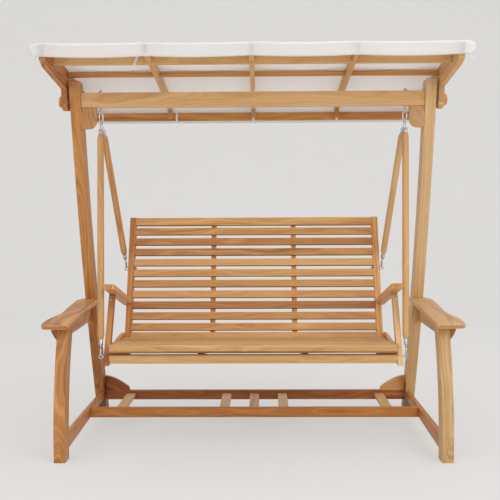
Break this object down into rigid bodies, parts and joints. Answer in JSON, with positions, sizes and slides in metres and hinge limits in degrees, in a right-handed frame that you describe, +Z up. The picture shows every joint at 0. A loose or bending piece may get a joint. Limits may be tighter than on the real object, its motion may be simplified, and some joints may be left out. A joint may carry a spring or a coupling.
{
  "type": "garden swing bench",
  "caption": "Free-standing wooden garden swing bench: slatted seat and back hung on wooden bars, bowed side frames with arms, and a tilting cloth canopy.",
  "frame": {"origin": "on the ground at the middle of the object's plan", "axes": "+X along the bench to the right as seen from the front, +Y to the back, +Z up"},
  "size_m": [2.02, 1.027, 1.9288],
  "materials": {
    "teak": "sanded, lightly oiled teak",
    "bar_wood": "turned pale wood",
    "steel": "bright plated steel",
    "cloth": "woven off-white canvas"
  },
  "bodies": {
    "frame": {"arm_apron_left": "teak", "arm_apron_right": "teak", "arm_corbel_left": "teak", "arm_corbel_right": "teak", "base_boards": "teak", "beam_block_left": "teak", "beam_block_right": "teak", "canopy_pivot_studs": "steel", "eye_bolt_nuts": "steel", "frame_arm_left": "teak", "frame_arm_right": "teak", "front_cross_rail": "teak", "front_leg_left": "teak", "front_leg_right": "teak", "hanger_eye_bolts": "steel", "rear_cross_rail": "teak", "rear_gusset_left": "teak", "rear_gusset_right": "teak", "rear_post_left": "teak", "rear_post_right": "teak", "side_rail_left": "teak", "side_rail_right": "teak", "top_beam": "teak"},
    "swing": {"arm_support_left": "teak", "arm_support_right": "teak", "back_battens": "teak", "back_slats": "teak", "back_stile_left": "teak", "back_stile_right": "teak", "bar_ferrules": "steel", "bar_snap_hooks": "steel", "bar_top_eyes": "steel", "hanger_bar_front_left": "bar_wood", "hanger_bar_front_right": "bar_wood", "hanger_bar_rear_left": "bar_wood", "hanger_bar_rear_right": "bar_wood", "hanger_links": "steel", "seat_arm_left": "teak", "seat_arm_right": "teak", "seat_bearers": "teak", "seat_corner_blocks": "teak", "seat_eye_bolts": "steel", "seat_eye_nuts": "steel", "seat_front_rail": "teak", "seat_rear_rail": "teak", "seat_side_rail_left": "teak", "seat_side_rail_right": "teak", "seat_slats": "teak"},
    "canopy": {"canopy_cloth": "cloth", "canopy_end_rib_left": "teak", "canopy_end_rib_right": "teak", "canopy_front_rail": "teak", "canopy_mid_rail": "teak", "canopy_rear_rail": "teak", "canopy_ribs": "teak", "canopy_ties": "cloth"},
    "knob_left": {"canopy_knob_left": "teak"},
    "knob_right": {"canopy_knob_right": "teak"}
  },
  "joints": [
    {"name": "swing_hinge", "type": "hinge", "parent": "frame", "child": "swing", "pos_m": [0, -0.05603, 1.6668], "axis": [1, 0, 0], "range_deg": [-25, 25]},
    {"name": "canopy_tilt", "type": "hinge", "parent": "frame", "child": "canopy", "pos_m": [0, -0.06253, 1.722], "axis": [1, 0, 0], "range_deg": [-20, 20]},
    {"name": "knob_turn_left", "type": "hinge", "parent": "frame", "child": "knob_left", "pos_m": [-0.974, -0.06253, 1.722], "axis": [1, 0, 0], "continuous": true},
    {"name": "knob_turn_right", "type": "hinge", "parent": "frame", "child": "knob_right", "pos_m": [0.974, -0.06253, 1.722], "axis": [1, 0, 0], "continuous": true}
  ]
}
